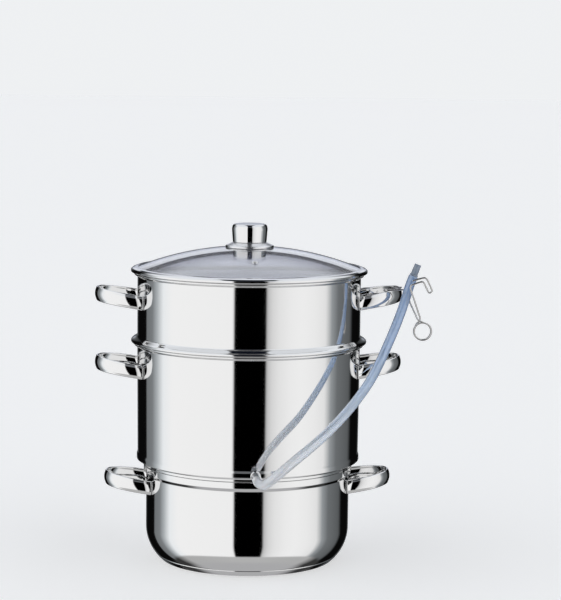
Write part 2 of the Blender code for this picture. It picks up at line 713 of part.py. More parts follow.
def build_knob():
    """The lid's knob on its skirt and gasket, held by a screw and washer from under the glass."""
    gasket_low = GLASS_TOP_Z + FIT
    gasket_top = gasket_low + GASKET_T
    bore = SCREW_R + SCREW_CLEAR
    gasket = [(GLASS_HOLE_R, gasket_top), (GASKET_R, gasket_top), (GASKET_R, gasket_low), (GLASS_HOLE_R, gasket_low)]
    turned("knob_gasket", gasket, silicone, parts, steps=SMALL_STEPS)
    skirt_in = gasket_top + FIT
    edge_z = glass_z(SKIRT_R, GLASS_BALL_R) + FIT
    edge_top = edge_z + SKIRT_EDGE_H
    knob_low = KNOB_Z - KNOB_H
    skirt = [
        (bore, knob_low - FIT),
        (KNOB_R, knob_low - FIT),
        (SKIRT_R - SKIRT_T, edge_top + SKIRT_T / 2),
        (SKIRT_R, edge_top),
        (SKIRT_R, edge_z),
        (SKIRT_R - SKIRT_T, edge_z),
        (SKIRT_R - 2 * SKIRT_T, skirt_in),
        (bore, skirt_in),
    ]
    turned("knob_skirt", skirt, steel, parts, steps=SMALL_STEPS)
    knob = [
        (0, KNOB_Z),
        (KNOB_R - KNOB_EDGE, KNOB_Z),
        (KNOB_R - KNOB_EDGE / 3, KNOB_Z - KNOB_EDGE / 3),
        (KNOB_R, KNOB_Z - KNOB_EDGE),
        (KNOB_WAIST_R, KNOB_Z - 0.62 * KNOB_H),
        (KNOB_FOOT_R, knob_low),
        (bore, knob_low),
        (bore, knob_low + KNOB_BORE_H),
        (0, knob_low + KNOB_BORE_H),
    ]
    turned("lid_knob", knob, steel, parts, steps=SMALL_STEPS, closed=False)
    washer_top = GLASS_TOP_Z - GLASS_T - 2 * FIT
    washer_low = washer_top - WASHER_T
    washer = [(bore, washer_top), (WASHER_R, washer_top), (WASHER_R, washer_low), (bore, washer_low)]
    turned("knob_washer", washer, silicone, parts, steps=SMALL_STEPS)
    head_top = washer_low - FIT
    screw = [
        (0, knob_low + KNOB_BORE_H - FIT),
        (SCREW_R, knob_low + KNOB_BORE_H - FIT),
        (SCREW_R, head_top),
        (SCREW_HEAD_R, head_top),
        (SCREW_HEAD_R, head_top - SCREW_HEAD_H / 2),
        (SCREW_HEAD_R - SCREW_HEAD_H / 2, head_top - SCREW_HEAD_H),
        (0, head_top - SCREW_HEAD_H),
    ]
    turned("knob_screw", screw, steel, parts, steps=TUBE_STEPS, closed=False)


def build_hose():
    """The silicone juice hose from the spout round to the basket's right handle, and its nozzle."""
    points, length = smooth_route(HOSE_ROUTE, HOSE_POINTS)
    print("hose length", round(length, 4))
    tube("juice_hose", points, HOSE_R, 2, hose_silicone, parts)
    direction = (points[-1] - points[-2]).normalized()
    profile = [
        (NOZZLE_BORE_R, NOZZLE_L),
        (NOZZLE_R - NOZZLE_EDGE, NOZZLE_L),
        (NOZZLE_R, NOZZLE_L - NOZZLE_EDGE),
        (NOZZLE_R, 0),
        (NOZZLE_BORE_R, 0),
    ]
    nozzle = turned("hose_nozzle", profile, grey_plastic, parts, steps=TUBE_STEPS)
    nozzle.location = points[-1] + direction * FIT
    nozzle.rotation_euler = direction.to_track_quat("Z", "Y").to_euler()


def coil_points():
    """The clip's coil: a helix about Y, clockwise from the front, its pitch over a wire's width."""
    points = []
    count = round(COIL_TURNS * COIL_POINTS)
    for index in range(count + 1):
        turn = math.radians(COIL_START) - math.tau * index / COIL_POINTS
        out = Vector((math.cos(turn), 0, math.sin(turn))) * COIL_R
        points.append(Vector(COIL_AT) + out + Vector((0, COIL_PITCH * index / COIL_POINTS, 0)))
    return points


def build_clip():
    """The hose clip: a coil with a rear arm hooked over the handle, and the front arm it springs."""
    rear = [Vector(point) for point in reversed(REAR_ARM)]
    wire = rear + coil_points()
    print("clip wire's least gap to itself", round(least_gap(wire, WIRE_R), 5))
    tube("hose_clip_spring", wire, WIRE_R, 1, steel, parts)
    front = [Vector(point) for point in FRONT_ARM]
    arm = tube("hose_clip_arm", [point - Vector(COIL_AT) for point in front], WIRE_R, 1, steel, parts)
    arm.location = COIL_AT


clear_scene()
parts = collection("steam_juicer")
guides = collection("guides")
steel = material("polished_steel", (0.78, 0.79, 0.80), 1.0, 0.08)
satin_steel = material("satin_steel", (0.72, 0.73, 0.74), 1.0, 0.28)
aluminium = material("aluminium", (0.80, 0.81, 0.82), 1.0, 0.4)
glass = material("lid_glass", (0.86, 0.91, 0.93), 0.0, 0.03, 0.3)
silicone = material("seal_silicone", (0.85, 0.85, 0.84), 0.0, 0.5)
hose_silicone = material("hose_silicone", (0.55, 0.66, 0.82), 0.0, 0.3, 0.7)
grey_plastic = material("nozzle_grey", (0.52, 0.55, 0.60), 0.0, 0.25)
build_base()
build_pan()
build_kettle()
build_cone()
build_spout()
build_basket()
build_handles()
build_lid()
build_knob()
build_hose()
build_clip()
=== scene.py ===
"""Looks of the steam juicer: polished steel tiers, glass lid, silicone hose and wire clip."""

import math

import bmesh
import bpy
import numpy as np
from mathutils import Matrix, Vector


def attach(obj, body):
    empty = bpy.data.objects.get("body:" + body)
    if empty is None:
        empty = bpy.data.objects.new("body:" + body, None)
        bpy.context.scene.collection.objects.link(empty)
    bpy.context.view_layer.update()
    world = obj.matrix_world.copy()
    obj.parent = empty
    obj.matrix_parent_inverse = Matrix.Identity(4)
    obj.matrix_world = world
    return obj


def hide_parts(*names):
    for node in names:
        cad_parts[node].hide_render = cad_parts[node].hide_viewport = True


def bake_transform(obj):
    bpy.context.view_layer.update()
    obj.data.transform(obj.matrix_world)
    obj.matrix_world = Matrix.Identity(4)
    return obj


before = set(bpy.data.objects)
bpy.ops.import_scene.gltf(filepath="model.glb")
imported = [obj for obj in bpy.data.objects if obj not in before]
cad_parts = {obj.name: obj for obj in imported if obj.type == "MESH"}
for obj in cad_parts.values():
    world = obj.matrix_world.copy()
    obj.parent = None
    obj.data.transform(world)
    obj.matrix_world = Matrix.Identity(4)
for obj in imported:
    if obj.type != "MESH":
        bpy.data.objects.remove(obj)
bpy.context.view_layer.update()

# Camera
# The photographer stood about 2.4 m away with a long lens, a little above the lid, and turned
# very slightly to the side of the spout.
camera_yaw = math.radians(4.861)
camera_pitch = math.radians(6.517)
camera_roll = math.radians(0.646)
forward = Vector(
    (
        math.sin(camera_yaw) * math.cos(camera_pitch),
        math.cos(camera_yaw) * math.cos(camera_pitch),
        -math.sin(camera_pitch),
    )
)
level = Vector((math.cos(camera_yaw), -math.sin(camera_yaw), 0))
upright = level.cross(forward)
side_axis = level * math.cos(camera_roll) + upright * math.sin(camera_roll)
top_axis = upright * math.cos(camera_roll) - level * math.sin(camera_roll)
camera_data = bpy.data.cameras.new("camera")
camera_data.lens = 126.0
camera_data.sensor_width = 36.0
camera = bpy.data.objects.new("camera", camera_data)
bpy.context.collection.objects.link(camera)
camera_place = Vector((-0.17056, -2.43904, 0.5849))
axes = Matrix((side_axis, top_axis, -forward)).transposed().to_4x4()
axes.translation = camera_place
camera.matrix_world = axes
bpy.context.scene.camera = camera
bpy.context.scene.view_settings.view_transform = "Standard"

# Juice hose
# A soft silicone tube, 11 mm across, pushed over the spout, swung round the kettle to the right
# and up past the handles. It is cloudy and bluish, with painted light: paler below, darker above.
hose_radius = 0.0054
span_steps = 24
hose_route = np.array(
    [
        (0.0000, -0.1330, 0.1215),
        (0.0000, -0.1420, 0.1215),
        (0.0000, -0.1504, 0.1215),
        (0.0000, -0.1575, 0.1215),
        (0.0012, -0.1655, 0.1205),
        (0.0064, -0.1740, 0.1200),
        (0.0143, -0.1784, 0.1262),
        (0.0283, -0.1781, 0.1382),
        (0.0417, -0.1734, 0.1484),
        (0.0607, -0.1638, 0.1619),
        (0.0815, -0.1503, 0.1774),
        (0.1006, -0.1367, 0.1943),
        (0.1165, -0.1223, 0.2100),
        (0.1309, -0.1062, 0.2261),
        (0.1435, -0.0886, 0.2435),
        (0.1555, -0.0721, 0.2638),
        (0.1654, -0.0592, 0.2821),
        (0.1732, -0.0501, 0.2990),
        (0.1789, -0.0448, 0.3141),
        (0.1833, -0.0424, 0.3273),
        (0.1875, -0.0421, 0.3383),
    ]
)


def smooth_line(knots, count):
    """Even points on a Catmull-Rom curve: each span is a cubic through its two knots, whose slopes
    are half the step between the knots either side of them."""
    ends = np.vstack([2 * knots[0] - knots[1], knots, 2 * knots[-1] - knots[-2]])
    t = np.linspace(0, 1, span_steps, endpoint=False)[None, :, None]
    a, b, c, d = (ends[i : len(ends) - 3 + i][:, None, :] for i in range(4))
    square = 2 * a - 5 * b + 4 * c - d
    cube = 3 * b - a - 3 * c + d
    spans = b + t * (c - a) / 2 + t**2 * square / 2 + t**3 * cube / 2
    fine = np.vstack([spans.reshape(-1, 3), knots[-1:]])
    along = np.concatenate([[0], np.cumsum(np.linalg.norm(np.diff(fine, axis=0), axis=1))])
    even = np.linspace(0, along[-1], count)
    return np.stack([np.interp(even, along, fine[:, axis]) for axis in range(3)], axis=1)


def mesh_piece(name, points, faces, finish, smooth=True):
    """A piece from arrays of points and faces: seams and poles welded, faces turned outwards."""
    data = bpy.data.meshes.new(name)
    data.from_pydata(points.tolist(), [], [tuple(face) for face in faces.tolist()])
    shape = bmesh.new()
    shape.from_mesh(data)
    bmesh.ops.remove_doubles(shape, verts=shape.verts, dist=1e-7)
    bmesh.ops.recalc_face_normals(shape, faces=shape.faces)
    shape.to_mesh(data)
    shape.free()
    data.polygons.foreach_set("use_smooth", np.full(len(data.polygons), smooth))
    data.materials.append(finish)
    piece = bpy.data.objects.new(name, data)
    bpy.context.collection.objects.link(piece)
    return piece


def grid_faces(rows, columns, wrap_rows=False):
    """Four-sided faces of a grid of rows by columns whose columns run round to meet themselves."""
    row = np.arange(rows if wrap_rows else rows - 1)[:, None]
    column = np.arange(columns)[None, :]
    next_row = (row + 1) % rows
    next_column = (column + 1) % columns
    corners = [
        row * columns + column,
        row * columns + next_column,
        next_row * columns + next_column,
        next_row * columns + column,
    ]
    return np.stack(np.broadcast_arrays(*corners), axis=-1).reshape(-1, 4)


def cross_rings(line, sides, start_side):
    """At each point of a line, the steps from it to a circle of radius 1 square to the line. The
    first circle's axis is start_side, and each next one is the last turned with the line."""
    direction = np.gradient(line, axis=0)
    direction /= np.linalg.norm(direction, axis=1, keepdims=True)
    across = np.empty_like(line)
    axis = np.array(start_side, dtype=float)
    for index, along in enumerate(direction):
        axis = axis - along * axis.dot(along)
        axis /= np.linalg.norm(axis)
        across[index] = axis
    other = np.cross(direction, across)
    turn = np.linspace(0, math.tau, sides, endpoint=False)[None, :, None]
    return across[:, None] * np.cos(turn) + other[:, None] * np.sin(turn)


def tube(name, line, radius, sides, start_side, finish, edge):
    """A round tube along a line, both ends closed and their edges rounded by a quarter circle,
    which takes the place of the line's own last points."""
    start = line[0] - line[1]
    start = start / np.linalg.norm(start)
    end = line[-1] - line[-2]
    end = end / np.linalg.norm(end)
    turn = np.linspace(0, math.pi / 2, 5)
    depth = edge * (1 - np.sin(turn))[:, None]
    shrink = radius - edge * (1 - np.cos(turn))
    first = (line[0] - start * depth)[::-1]
    last = line[-1] - end * depth
    inner = line[4:-4]
    spine = np.vstack([first, inner, last])
    rings = cross_rings(spine, sides, start_side)
    radii = np.concatenate([[1e-6], shrink[::-1], np.full(len(inner), radius), shrink, [1e-6]])
    closed = [0, *range(len(spine)), -1]
    points = spine[closed][:, None] + rings[closed] * radii[:, None, None]
    return mesh_piece(name, points.reshape(-1, 3), grid_faces(len(closed), sides), finish)


def plain_finish(name, colour, metallic, roughness):
    """A Principled material and its node tree, ready for its own detail."""
    finish = bpy.data.materials.new(name)
    finish.use_nodes = True
    shader = finish.node_tree.nodes["Principled BSDF"]
    shader.inputs["Base Color"].default_value = (*colour, 1)
    shader.inputs["Metallic"].default_value = metallic
    shader.inputs["Roughness"].default_value = roughness
    return finish, finish.node_tree, shader


def node(tree, kind, values=None, **settings):
    """A shader node with its settings, and its own sockets' values by name."""
    made = tree.nodes.new(kind)
    for key, value in settings.items():
        setattr(made, key, value)
    for key, value in (values or {}).items():
        made.inputs[key].default_value = value
    return made


def ramp(tree, stops):
    """A colour ramp from (place, colour) stops."""
    made = tree.nodes.new("ShaderNodeValToRGB")
    elements = made.color_ramp.elements
    while len(elements) < len(stops):
        elements.new(0.5)
    for element, (position, colour) in zip(elements, stops):
        element.position = position
        element.color = (*colour, 1)
    return made


hose_finish, tree, shader = plain_finish("cloudy_silicone", (0.60, 0.70, 0.84), 0.0, 0.16)
shader.inputs["Transmission Weight"].default_value = 0.50
shader.inputs["IOR"].default_value = 1.41
shader.inputs["Subsurface Weight"].default_value = 0.25
shader.inputs["Subsurface Radius"].default_value = (0.7, 0.85, 1.0)
shader.inputs["Subsurface Scale"].default_value = 0.004
shader.inputs["Coat Weight"].default_value = 1.0
shader.inputs["Coat IOR"].default_value = 1.9
shader.inputs["Coat Roughness"].default_value = 0.05
places = node(tree, "ShaderNodeTexCoord")
cloud = node(tree, "ShaderNodeTexNoise", {"Scale": 90.0, "Detail": 3.0})
tree.links.new(places.outputs["Object"], cloud.inputs["Vector"])
up = node(tree, "ShaderNodeSeparateXYZ")
tree.links.new(places.outputs["Object"], up.inputs[0])
# Painted light by height: the hose is coloured paler low down and darker blue high up. The noise is
# the silicone's own cloudiness.
painted_light_by_height = node(tree, "ShaderNodeMapRange", {1: 0.12, 2: 0.34, 3: -0.08, 4: 0.92})
tree.links.new(up.outputs["Z"], painted_light_by_height.inputs[0])
mottle_and_painted_light = node(tree, "ShaderNodeMath", {1: 0.16}, operation="MULTIPLY_ADD")
tree.links.new(cloud.outputs["Fac"], mottle_and_painted_light.inputs[0])
tree.links.new(painted_light_by_height.outputs[0], mottle_and_painted_light.inputs[2])
cloud_and_painted_light_tone = ramp(
    tree, [(0.10, (0.92, 0.95, 1.0)), (0.50, (0.62, 0.77, 1.0)), (0.90, (0.33, 0.47, 0.71))]
)
tree.links.new(mottle_and_painted_light.outputs[0], cloud_and_painted_light_tone.inputs["Fac"])
tree.links.new(cloud_and_painted_light_tone.outputs["Color"], shader.inputs["Base Color"])
hose_line = smooth_line(hose_route, 220)
hose = tube("hose_tube", hose_line, hose_radius, 32, (1, -0.2, -1), hose_finish, 0.0008)
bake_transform(hose)
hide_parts("juice_hose")

# Hose nozzle
# A small grey plastic tip pushed into the hose's end, with a stepped collar and an open bore.
# The juice runs out of it into a bottle when the clip lets go.
seat_gap = 0.0003
hose_end = hose_line[-1]
hose_way = hose_end - hose_line[-2]
hose_way = hose_way / np.linalg.norm(hose_way)


def arc(centre, radius, start, end, steps):
    """Points of an arc in a profile's plane: the centre plus the radius times cosine and sine."""
    turn = np.radians(np.linspace(start, end, steps + 1))
    return np.stack([centre[0] + radius * np.cos(turn), centre[1] + radius * np.sin(turn)], axis=1)


def bent(corners, steps=5, hold=0.00012):
    """A profile line whose corners, (radius, height, bend), are rounded by an arc that touches both
    sides, with a held point just before and after each arc so that the flats stay flat. A corner
    without a bend, or nearly straight, stays one point."""
    line = [np.array(corners[0][:2], dtype=float)]
    for before, here, after in zip(corners, corners[1:], corners[2:]):
        a, b, c = (np.array(point[:2], dtype=float) for point in (before, here, after))
        u = (a - b) / np.linalg.norm(a - b)
        v = (c - b) / np.linalg.norm(c - b)
        half = math.acos(float(np.clip(u.dot(v), -1, 1))) / 2
        if here[2] <= 0 or half > math.radians(89.5):
            line.append(b)
            continue
        reach = here[2] / math.tan(half)
        middle = b + (u + v) / np.linalg.norm(u + v) * (here[2] / math.sin(half))
        first = b + u * reach
        last = b + v * reach
        from_first = first - middle
        from_last = last - middle
        square_on = np.array([-from_first[1], from_first[0]])
        whole = math.atan2(square_on.dot(from_last), from_first.dot(from_last))
        turn = np.linspace(0, whole, steps + 1)[:, None]
        rounded = middle + np.cos(turn) * from_first + np.sin(turn) * square_on
        line.append(first + u * hold)
        line.extend(rounded)
        line.append(last + v * hold)
    line.append(np.array(corners[-1][:2], dtype=float))
    return np.array(line)


def sheet(line, thickness):
    """A closed profile of sheet metal: the outer line, then the same line one thickness further in,
    each point moved square to the line there."""
    along = np.gradient(line, axis=0)
    along /= np.linalg.norm(along, axis=1, keepdims=True)
    inner = line + thickness * np.stack([along[:, 1], -along[:, 0]], axis=1)
    return np.vstack([line, inner[::-1]])


def swept(profile, sides):
    """Rings of points: every profile point (radius, height) swept round Z through a full circle."""
    turn = np.linspace(0, math.tau, sides, endpoint=False)
    radius = profile[:, 0][:, None]
    height = np.broadcast_to(profile[:, 1][:, None], (len(profile), sides))
    points = np.stack([radius * np.cos(turn), radius * np.sin(turn), height], axis=-1)
    return points.reshape(-1, 3)


def turned(name, profile, finish, sides=192, closed=True):
    """A turned piece: a swept profile, closed where its last point runs on to its first."""
    return mesh_piece(name, swept(profile, sides), grid_faces(len(profile), sides, closed), finish)


def place(piece, matrix):
    """Puts a piece in its place in its own mesh, so that its object stays at the origin."""
    piece.data.transform(matrix)
    piece.data.update()
    return piece


def tidy(piece):
    """Drops the faces that have no area, left where a profile's end lies on the axis."""
    shape = bmesh.new()
    shape.from_mesh(piece.data)
    bmesh.ops.dissolve_degenerate(shape, dist=1e-7, edges=shape.edges)
    shape.to_mesh(piece.data)
    shape.free()
    return piece


def clouded(tree, socket, scale, detail, stops):
    """Feeds a socket from noise in the piece's own coordinates, through a ramp of colours."""
    places = node(tree, "ShaderNodeTexCoord")
    noise = node(tree, "ShaderNodeTexNoise", {"Scale": scale, "Detail": detail})
    tones = ramp(tree, stops)
    tree.links.new(places.outputs["Object"], noise.inputs["Vector"])
    tree.links.new(noise.outputs["Fac"], tones.inputs["Fac"])
    tree.links.new(tones.outputs["Color"], socket)


nozzle_finish, tree, shader = plain_finish("grey_nozzle", (0.24, 0.28, 0.37), 0.0, 0.22)
shader.inputs["Coat Weight"].default_value = 0.4
nozzle_tones = [(0.35, (0.20, 0.25, 0.33)), (0.65, (0.28, 0.33, 0.41))]
clouded(tree, shader.inputs["Base Color"], 260.0, 2.0, nozzle_tones)
nozzle_line = bent(
    [
        (0.0026, 0.0000, 0),
        (0.0026, 0.0140, 0.0004),
        (0.0038, 0.0140, 0.0006),
        (0.0040, 0.0060, 0.0004),
        (0.0040, 0.0018, 0.0003),
        (0.0048, 0.0018, 0.0004),
        (0.0048, 0.0000, 0),
    ]
)[::-1]
nozzle = turned("hose_tip", nozzle_line, nozzle_finish, 40)
nozzle_turn = Vector(hose_way).to_track_quat("Z", "Y").to_matrix().to_4x4()
nozzle_turn.translation = Vector(hose_end + hose_way * seat_gap)
place(nozzle, nozzle_turn)
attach(nozzle, "basket")
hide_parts("hose_nozzle")

# Wire clip
# One spring wire, 2 mm thick: a coil below, a rear arm that hooks over the basket's handle, and a
# front arm whose finger loop springs away from it. The two arms pinch the hose where they cross.
wire_radius = 0.0010
coil_centre = np.array([0.1992, -0.0448, 0.2737])
coil_radius = 0.0100
coil_pitch = 0.0027
coil_turns = 1.75
coil_start = 60.0


def combined(tree, operation, first, second):
    """Two sockets put through one sum or product."""
    made = node(tree, "ShaderNodeMath", operation=operation)
    tree.links.new(first, made.inputs[0])
    tree.links.new(second, made.inputs[1])
    return made.outputs[0]


def polish_group():
    """The polish on all the steel: faint smears that dull the shine, and long fine marks left by
    the polishing belt, which run level round the piece."""
    group = bpy.data.node_groups.new("belt_polish", "ShaderNodeTree")
    ask = group.interface.new_socket
    ask(name="Vector", in_out="INPUT", socket_type="NodeSocketVector")
    for label, value in (("Shine", 0.06), ("Smear", 0.04), ("Marks", 0.03)):
        ask(name=label, in_out="INPUT", socket_type="NodeSocketFloat").default_value = value
    ask(name="Roughness", in_out="OUTPUT", socket_type="NodeSocketFloat")
    ask(name="Height", in_out="OUTPUT", socket_type="NodeSocketFloat")
    given = group.nodes.new("NodeGroupInput")
    out = group.nodes.new("NodeGroupOutput")
    smears = node(group, "ShaderNodeTexNoise", {"Scale": 14.0, "Detail": 4.0, "Roughness": 0.6})
    stretch = node(group, "ShaderNodeMapping", {"Scale": (6.0, 6.0, 900.0)})
    lines = node(group, "ShaderNodeTexNoise", {"Scale": 1.0, "Detail": 2.0})
    group.links.new(given.outputs["Vector"], smears.inputs["Vector"])
    group.links.new(given.outputs["Vector"], stretch.inputs["Vector"])
    group.links.new(stretch.outputs["Vector"], lines.inputs["Vector"])
    smear_part = combined(group, "MULTIPLY", smears.outputs["Fac"], given.outputs["Smear"])
    mark_part = combined(group, "MULTIPLY", lines.outputs["Fac"], given.outputs["Marks"])
    both = combined(group, "ADD", smear_part, mark_part)
    total = combined(group, "ADD", both, given.outputs["Shine"])
    group.links.new(total, out.inputs["Roughness"])
    group.links.new(lines.outputs["Fac"], out.inputs["Height"])
    return group


belt_polish = polish_group()


def steel_finish(name, colour, shine, smear, marks, bump):
    """Stainless steel with the shared polish, each with its own shine, smears and marks."""
    finish, tree, shader = plain_finish(name, colour, 1.0, shine)
    places = node(tree, "ShaderNodeTexCoord")
    polish = node(tree, "ShaderNodeGroup", node_tree=belt_polish)
    polish.inputs["Shine"].default_value = shine
    polish.inputs["Smear"].default_value = smear
    polish.inputs["Marks"].default_value = marks
    relief = node(tree, "ShaderNodeBump", {"Strength": bump, "Distance": 0.0001})
    tree.links.new(places.outputs["Object"], polish.inputs["Vector"])
    tree.links.new(polish.outputs["Roughness"], shader.inputs["Roughness"])
    tree.links.new(polish.outputs["Height"], relief.inputs["Height"])
    tree.links.new(relief.outputs["Normal"], shader.inputs["Normal"])
    return finish


wire_finish = steel_finish("spring_wire", (0.72, 0.71, 0.70), 0.10, 0.06, 0.04, 0.02)
rear_arm = np.array(
    [
        (0.1770, -0.0234, 0.3231),
        (0.1600, -0.0234, 0.3209),
        (0.1571, -0.0244, 0.3204),
        (0.1556, -0.0272, 0.3202),
        (0.1556, -0.0302, 0.3202),
        (0.1571, -0.0330, 0.3203),
        (0.1600, -0.0340, 0.3205),
        (0.1755, -0.0340, 0.3213),
        (0.1788, -0.0340, 0.3206),
        (0.1806, -0.0340, 0.3184),
        (0.1822, -0.0340, 0.3150),
        (0.1848, -0.0350, 0.3070),
        (0.1875, -0.0382, 0.3005),
        (0.1905, -0.0420, 0.2935),
        (0.1930, -0.0443, 0.2880),
        (0.1965, -0.0448, 0.2858),
    ]
)
front_arm = np.array(
    [
        (0.1907, -0.0401, 0.2790),
        (0.1925, -0.0401, 0.2825),
        (0.1955, -0.0402, 0.2856),
        (0.1963, -0.0405, 0.2892),
        (0.1935, -0.0430, 0.2965),
        (0.1900, -0.0470, 0.3055),
        (0.1865, -0.0502, 0.3145),
        (0.1838, -0.0512, 0.3215),
        (0.1828, -0.0512, 0.3252),
        (0.1835, -0.0512, 0.3280),
        (0.1862, -0.0512, 0.3294),
        (0.1945, -0.0512, 0.3322),
        (0.1975, -0.0512, 0.3322),
        (0.1992, -0.0512, 0.3298),
        (0.2033, -0.0512, 0.3215),
        (0.2052, -0.0512, 0.3198),
        (0.2072, -0.0512, 0.3208),
        (0.2076, -0.0512, 0.3234),
        (0.2032, -0.0512, 0.3328),
        (0.2010, -0.0512, 0.3362),
        (0.1978, -0.0512, 0.3370),
        (0.1850, -0.0512, 0.3336),
    ]
)
coil_share = np.linspace(0, coil_turns, 29)
coil_turn = np.radians(coil_start) - coil_share * math.tau
coil = coil_centre + np.stack(
    [
        coil_radius * np.cos(coil_turn),
        coil_pitch * coil_share,
        coil_radius * np.sin(coil_turn),
    ],
    axis=1,
)
rear_line = smooth_line(np.vstack([rear_arm, coil]), 420)
clip_rear = tube("clip_rear_wire", rear_line, wire_radius, 14, (0, 0, 1), wire_finish, 0.0003)
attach(clip_rear, "basket")
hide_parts("hose_clip_spring")
front_line = smooth_line(front_arm, 260)
clip_front = tube("clip_front_wire", front_line, wire_radius, 14, (0, 1, 0), wire_finish, 0.0003)
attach(clip_front, "clip_arm")
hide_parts("hose_clip_arm")

# Water pan
# The lowest pot, 24 cm, drawn from one sheet of stainless steel and mirror polished. Its rim is
# a low upright collar, and a wide corner slopes in to the capsule base.
sheet_steel = 0.0008
polished = steel_finish("mirror_polish", (0.86, 0.86, 0.86), 0.035, 0.03, 0.02, 0.008)
pan_wall_radius = 0.1196
pan_floor = 0.0069
corner_radius = 0.0500
corner_centre = (pan_wall_radius - corner_radius, 0.0384)
pan_wall = bent(
    [
        (0.1211, 0.1125, 0),
        (0.1225, 0.1125, 0.0010),
        (0.1225, 0.1050, 0.0016),
        (pan_wall_radius, 0.1012, 0.0016),
        (pan_wall_radius, 0.0386, 0),
    ]
)
pan_corner = arc(corner_centre, corner_radius, 0, -38.5, 16)
corner_end = (*pan_corner[-1], 0)
pan_side = np.vstack(
    [
        pan_wall,
        pan_corner,
        bent([corner_end, (0.1078, pan_floor, 0.0004), (0.0, pan_floor, 0)])[1:],
    ]
)
pan = tidy(turned("pan_shell", sheet(pan_side, sheet_steel), polished))
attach(pan, "pan")
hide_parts("pan_body", "pan_corner", "pan_floor")

# Capsule base
# A pressed steel cap bonded under the pan, with an aluminium disc inside that spreads the heat.
# Its polished side carries on the curve of the pan's corner, and its flat underside is brushed.
cap_side = arc(corner_centre, corner_radius, -39.2, -48.5, 6)
cap_edge = (*cap_side[-1], 0)
cap_line = np.vstack([cap_side[:-1], bent([cap_edge, (0.1018, 0.0, 0.0010), (0.0, 0.0, 0)])])


def second_finish(piece, finish, chosen):
    """Gives a turned piece's chosen faces another finish. chosen takes the faces' heights,
    and how far each looks out from the axis, from 1 to -1."""
    count = len(piece.data.polygons)
    centre = np.empty(count * 3)
    normal = np.empty(count * 3)
    piece.data.polygons.foreach_get("center", centre)
    piece.data.polygons.foreach_get("normal", normal)
    centre = centre.reshape(-1, 3)
    normal = normal.reshape(-1, 3)
    radius = np.maximum(np.linalg.norm(centre[:, :2], axis=1), 1e-6)
    out = (centre[:, :2] * normal[:, :2]).sum(axis=1) / radius
    piece.data.materials.append(finish)
    piece.data.polygons.foreach_set("material_index", chosen(centre[:, 2], out).astype(np.int32))


brushed_base = steel_finish("spun_base", (0.78, 0.78, 0.79), 0.34, 0.10, 0.20, 0.10)
base_cap = tidy(turned("base_cap_shell", sheet(cap_line, sheet_steel), polished))
second_finish(base_cap, brushed_base, lambda height, out: height < 0.0002)
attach(base_cap, "pan")
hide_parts("pan_base_cap")

# Juice kettle
# The middle pot, 26 cm, steel polished outside and dull inside. A pressed bead and a stepped foot
# seat it on the pan's rim, and its floor is open in the middle under the steam cone.
roll_radius = 0.0017
rim_radius = 0.1346
kettle_line = bent(
    [
        (0.1340, 0.2536, 0),
        (0.1328, 0.2531, 0.0008),
        (0.1306, 0.2521, 0.0010),
        (0.1298, 0.1268, 0.0006),
        (0.1308, 0.1240, 0.0010),
        (0.1308, 0.1190, 0.0009),
        (0.1290, 0.1181, 0.0008),
        (0.1240, 0.1173, 0.0008),
        (0.1229, 0.1158, 0.0010),
        (0.1229, 0.1128, 0.0006),
        (0.1175, 0.1128, 0.0006),
        (0.1175, 0.1040, 0.0030),
        (0.0360, 0.1040, 0),
    ]
)


def rolled(top):
    """The section of a rolled rim: most of a circle, from its inner side over the top."""
    return arc((rim_radius - roll_radius, top - roll_radius), roll_radius, 180, -62, 18)


kettle_profile = np.vstack([rolled(0.2565), sheet(kettle_line, sheet_steel)])
kettle = turned("kettle_shell", kettle_profile, polished)
brushed_inside = steel_finish("brushed_inside", (0.88, 0.91, 1.0), 0.55, 0.06, 0.12, 0.05)
brushed_inside.node_tree.nodes["Principled BSDF"].inputs["Metallic"].default_value = 0.0
second_finish(kettle, brushed_inside, lambda height, out: (out < -0.5) & (height < 0.2530))
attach(kettle, "kettle")
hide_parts("kettle_rim", "kettle_body", "kettle_nest", "kettle_floor")

# Steam cone
# A drawn steel funnel that stands on the kettle's floor, wide below and open above, and brings the
# steam up past the juice. Its flange is rolled flat on the floor.
satin = steel_finish("satin_steel", (0.74, 0.74, 0.75), 0.16, 0.08, 0.10, 0.05)
cone_line = bent(
    [
        (0.0188, 0.1791, 0),
        (0.0188, 0.1766, 0.0020),
        (0.0380, 0.1059, 0.0012),
        (0.0400, 0.1059, 0),
    ]
)
cone_inner = bent(
    [
        (0.0400, 0.1051, 0),
        (0.0372, 0.1051, 0.0008),
        (0.0180, 0.1766, 0.0020),
        (0.0180, 0.1791, 0),
    ]
)
cone = turned("steam_funnel", np.vstack([cone_line, cone_inner]), satin, 128)
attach(cone, "kettle")
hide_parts("steam_cone")

# Juice spout
# A short steel tube welded through the kettle's wall just above its floor, with a collar outside
# and a barb that grips the hose.
spout_line = bent(
    [
        (0.0037, 0.0191, 0),
        (0.0046, 0.0191, 0.0004),
        (0.0050, 0.0151, 0.0002),
        (0.0046, 0.0149, 0.0002),
        (0.0046, 0.0018, 0.0006),
        (0.0058, 0.0012, 0.0004),
        (0.0058, 0.0000, 0.0002),
        (0.0037, 0.0000, 0),
    ]
)
spout_root = Matrix.Translation((0, -0.1309, 0.1215))
spout = turned("spout_tube", spout_line, polished, 48)
place(spout, spout_root @ Matrix.Rotation(math.radians(90), 4, "X"))
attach(spout, "kettle")
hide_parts("juice_spout")

